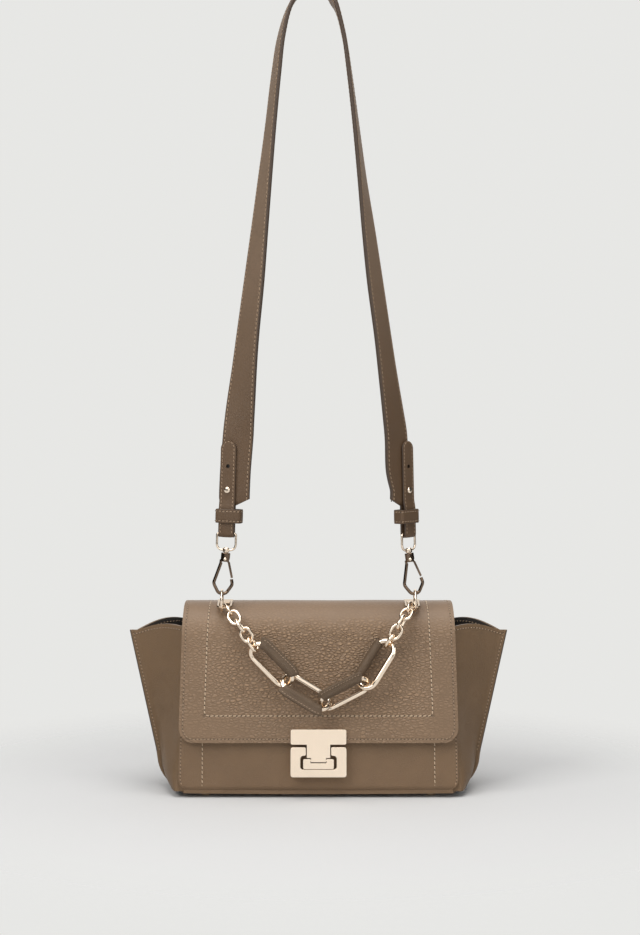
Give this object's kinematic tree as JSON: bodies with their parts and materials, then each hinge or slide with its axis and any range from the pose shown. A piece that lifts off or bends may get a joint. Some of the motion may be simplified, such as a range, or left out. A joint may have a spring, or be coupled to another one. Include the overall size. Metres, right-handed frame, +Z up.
{
  "type": "flap handbag",
  "caption": "Small structured leather handbag with a fold-over flap, winged gussets, a slotted metal clasp, a swag of large chain links and a shoulder strap on snap hooks.",
  "frame": {"origin": "centre of the bounding box's base, on the surface that the bag stands on", "axes": "+Z up along the strap, the longest extent; +Y from front to back, the shortest extent; +X to the right as seen from the front"},
  "size_m": [0.317, 0.1071, 0.6743],
  "materials": {
    "body_leather": "pebbled taupe leather, satin",
    "strap_leather": "fine-grained taupe leather, satin",
    "lining_cloth": "dark brown woven lining, matt",
    "stiffener": "stiff board, matt",
    "pale_gold": "polished pale gold plate"
  },
  "bodies": {
    "bag": {"front_panel": "body_leather", "back_panel": "body_leather", "base_panel": "body_leather", "base_board": "stiffener", "lining": "lining_cloth", "left_gusset": "body_leather", "right_gusset": "body_leather", "foot_front_left": "pale_gold", "foot_back_left": "pale_gold", "foot_front_right": "pale_gold", "foot_back_right": "pale_gold", "catch_plate": "pale_gold", "catch_back_plate": "pale_gold"},
    "flap": {"flap": "body_leather", "flap_lining": "lining_cloth", "clasp_plate": "pale_gold", "clasp_back_plate": "pale_gold", "latch_pin": "pale_gold", "left_anchor": "pale_gold", "right_anchor": "pale_gold"},
    "latch": {"latch_bar": "pale_gold"},
    "chain": {"left_link_1": "pale_gold", "left_link_2": "pale_gold", "left_link_3": "pale_gold", "left_link_4": "pale_gold", "left_link_5": "pale_gold", "right_link_1": "pale_gold", "right_link_2": "pale_gold", "right_link_3": "pale_gold", "right_link_4": "pale_gold", "right_link_5": "pale_gold"},
    "large_link_1": {"large_link_1": "pale_gold", "link_sleeve_1": "body_leather"},
    "large_link_2": {"large_link_2": "pale_gold", "link_sleeve_2": "body_leather"},
    "large_link_3": {"large_link_3": "pale_gold", "link_sleeve_3": "body_leather"},
    "large_link_4": {"large_link_4": "pale_gold", "link_sleeve_4": "body_leather"},
    "rings": {"left_ring": "pale_gold", "right_ring": "pale_gold"},
    "strap": {"strap": "strap_leather", "left_stud": "pale_gold", "right_stud": "pale_gold", "left_swivel_loop": "pale_gold", "right_swivel_loop": "pale_gold"},
    "left_hook": {"left_hook": "pale_gold", "left_gate_pin": "pale_gold"},
    "left_gate": {"left_gate": "pale_gold"},
    "left_keeper": {"left_keeper": "strap_leather"},
    "right_hook": {"right_hook": "pale_gold", "right_gate_pin": "pale_gold"},
    "right_gate": {"right_gate": "pale_gold"},
    "right_keeper": {"right_keeper": "strap_leather"}
  },
  "joints": [
    {"name": "flap_open", "type": "hinge", "parent": "bag", "child": "flap", "pos_m": [0, 0.0416, 0.1502], "axis": [-1, 0, 0], "range_deg": [0, 115]},
    {"name": "latch_turn", "type": "hinge", "parent": "flap", "child": "latch", "pos_m": [0, -0.0412, 0.0316], "axis": [-1, 0, 0], "range_deg": [0, 80]},
    {"name": "chain_swing", "type": "hinge", "parent": "flap", "child": "chain", "pos_m": [0, -0.0249, 0.15462], "axis": [1, 0, 0], "range_deg": [-60, 0]},
    {"name": "link_roll_1", "type": "hinge", "parent": "chain", "child": "large_link_1", "pos_m": [-0.03831, -0.04122, 0.10968], "axis": [0.7071, -0.0637, -0.7042], "range_deg": [-8, 8]},
    {"name": "link_roll_2", "type": "hinge", "parent": "chain", "child": "large_link_2", "pos_m": [-0.01015, -0.0432, 0.08777], "axis": [0.8572, -0.0464, -0.5129], "range_deg": [-8, 8]},
    {"name": "link_roll_3", "type": "hinge", "parent": "chain", "child": "large_link_3", "pos_m": [0.02132, -0.0433, 0.08668], "axis": [0.891, 0.0409, 0.4521], "range_deg": [-8, 8]},
    {"name": "link_roll_4", "type": "hinge", "parent": "chain", "child": "large_link_4", "pos_m": [0.04689, -0.04118, 0.11002], "axis": [0.5299, 0.0764, 0.8446], "range_deg": [-8, 8]},
    {"name": "ring_swing", "type": "hinge", "parent": "flap", "child": "rings", "pos_m": [0, -0.0249, 0.15462], "axis": [1, 0, 0], "range_deg": [-3, 30]},
    {"name": "strap_swing", "type": "hinge", "parent": "rings", "child": "strap", "pos_m": [0, -0.0249, 0.16612], "axis": [1, 0, 0], "range_deg": [-75, 75]},
    {"name": "left_hook_swivel", "type": "hinge", "parent": "strap", "child": "left_hook", "pos_m": [-0.07631, -0.0249, 0.19977], "axis": [0.0958, 0, 0.9954], "range_deg": [-20, 20]},
    {"name": "left_gate_open", "type": "hinge", "parent": "left_hook", "child": "left_gate", "pos_m": [-0.07679, -0.0249, 0.19479], "axis": [0, 1, 0], "range_deg": [0, 20], "stiffness_Nm_per_rad": 0.005, "springref_deg": -17.19},
    {"name": "left_keeper_slide", "type": "slide", "parent": "strap", "child": "left_keeper", "axis": [0.0279, 0, 0.9996], "range_m": [-0.005, 0.001]},
    {"name": "right_hook_swivel", "type": "hinge", "parent": "strap", "child": "right_hook", "pos_m": [0.07456, -0.0249, 0.19955], "axis": [-0.1478, 0, 0.989], "range_deg": [-20, 20]},
    {"name": "right_gate_open", "type": "hinge", "parent": "right_hook", "child": "right_gate", "pos_m": [0.0753, -0.0249, 0.19461], "axis": [0, 1, 0], "range_deg": [0, 20], "stiffness_Nm_per_rad": 0.005, "springref_deg": -17.19},
    {"name": "right_keeper_slide", "type": "slide", "parent": "strap", "child": "right_keeper", "axis": [-0.0209, 0, 0.9998], "range_m": [-0.005, 0.001]}
  ]
}
